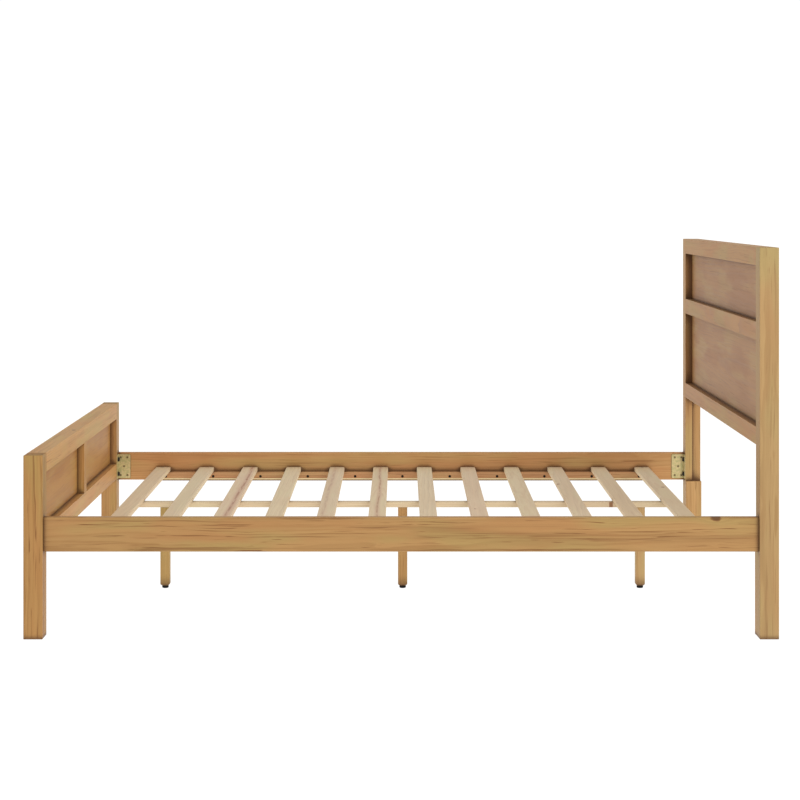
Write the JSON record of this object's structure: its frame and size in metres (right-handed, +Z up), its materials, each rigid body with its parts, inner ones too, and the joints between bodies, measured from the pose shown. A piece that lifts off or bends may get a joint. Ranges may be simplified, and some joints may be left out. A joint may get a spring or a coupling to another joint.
{
  "type": "bed frame",
  "caption": "Low wooden bed frame for a mattress: panelled headboard and footboard, side rails on steel corner brackets, slats, and a centre beam on legs with levelling feet.",
  "frame": {"origin": "on the floor, under the middle of the frame's bounding box", "axes": "+X along the bed towards the headboard, +Y across the bed to the left as seen from the foot, +Z up"},
  "size_m": [2.152, 1.614, 1.116],
  "materials": {
    "stained_wood": "honey stained and lacquered, satin",
    "stained_panel": "honey stained and lacquered, satin",
    "plain_pine": "plain planed pine, matt",
    "plain_beech": "plain, turned",
    "yellow_zinc_steel": "yellow zinc plated",
    "zinc_steel": "bright zinc plated",
    "black_steel": "black oxide",
    "brass": "turned brass",
    "black_plastic": "moulded, matt"
  },
  "bodies": {
    "frame": {"beam_inserts": "brass", "beam_screws": "zinc_steel", "bed_bolt_washers": "black_steel", "bed_bolts": "black_steel", "bracket_screws": "yellow_zinc_steel", "centre_beam": "plain_pine", "centre_leg_foot": "stained_wood", "centre_leg_head": "stained_wood", "centre_leg_middle": "stained_wood", "corner_bracket_foot_left": "yellow_zinc_steel", "corner_bracket_foot_right": "yellow_zinc_steel", "corner_bracket_head_left": "yellow_zinc_steel", "corner_bracket_head_right": "yellow_zinc_steel", "footboard_bottom_rail": "stained_wood", "footboard_dowels": "plain_beech", "footboard_mullion": "stained_wood", "footboard_panel_left": "stained_panel", "footboard_panel_right": "stained_panel", "footboard_post_left": "stained_wood", "footboard_post_right": "stained_wood", "footboard_top_rail": "stained_wood", "headboard_bottom_rail": "stained_wood", "headboard_dowels": "plain_beech", "headboard_leg_block_left": "stained_wood", "headboard_leg_block_right": "stained_wood", "headboard_lower_panel": "stained_panel", "headboard_middle_rail": "stained_wood", "headboard_post_left": "stained_wood", "headboard_post_right": "stained_wood", "headboard_top_rail": "stained_wood", "headboard_upper_panel": "stained_panel", "ledger_left": "stained_wood", "ledger_right": "stained_wood", "ledger_screws": "black_steel", "leg_hanger_bolts": "zinc_steel", "leveller_inserts": "brass", "post_inserts": "brass", "side_rail_left": "stained_wood", "side_rail_right": "stained_wood", "slat_01": "plain_pine", "slat_02": "plain_pine", "slat_03": "plain_pine", "slat_04": "plain_pine", "slat_05": "plain_pine", "slat_06": "plain_pine", "slat_07": "plain_pine", "slat_08": "plain_pine", "slat_09": "plain_pine", "slat_10": "plain_pine", "slat_11": "plain_pine", "slat_12": "plain_pine", "slat_screws": "zinc_steel"},
    "leveller_pad_foot": {"leveller_pad_foot": "black_plastic"},
    "leveller_stud_foot": {"leveller_stud_foot": "zinc_steel"},
    "leveller_pad_middle": {"leveller_pad_middle": "black_plastic"},
    "leveller_stud_middle": {"leveller_stud_middle": "zinc_steel"},
    "leveller_pad_head": {"leveller_pad_head": "black_plastic"},
    "leveller_stud_head": {"leveller_stud_head": "zinc_steel"}
  },
  "joints": [
    {"name": "pad_slide_foot", "type": "slide", "parent": "frame", "child": "leveller_pad_foot", "axis": [0, 0, -1], "range_m": [0, 0.012]},
    {"name": "stud_turn_foot", "type": "hinge", "parent": "leveller_pad_foot", "child": "leveller_stud_foot", "pos_m": [-0.762, 0, 0], "axis": [0, 0, -1], "range_deg": [0, 3456]},
    {"name": "pad_slide_middle", "type": "slide", "parent": "frame", "child": "leveller_pad_middle", "axis": [0, 0, -1], "range_m": [0, 0.012]},
    {"name": "stud_turn_middle", "type": "hinge", "parent": "leveller_pad_middle", "child": "leveller_stud_middle", "pos_m": [0.005, 0, 0], "axis": [0, 0, -1], "range_deg": [0, 3456]},
    {"name": "pad_slide_head", "type": "slide", "parent": "frame", "child": "leveller_pad_head", "axis": [0, 0, -1], "range_m": [0, 0.012]},
    {"name": "stud_turn_head", "type": "hinge", "parent": "leveller_pad_head", "child": "leveller_stud_head", "pos_m": [0.772, 0, 0], "axis": [0, 0, -1], "range_deg": [0, 3456]}
  ],
  "couplings": [
    {"joint": "stud_turn_foot", "follows": "pad_slide_foot", "rad_per_m": 5026.5},
    {"joint": "stud_turn_middle", "follows": "pad_slide_middle", "rad_per_m": 5026.5},
    {"joint": "stud_turn_head", "follows": "pad_slide_head", "rad_per_m": 5026.5}
  ]
}
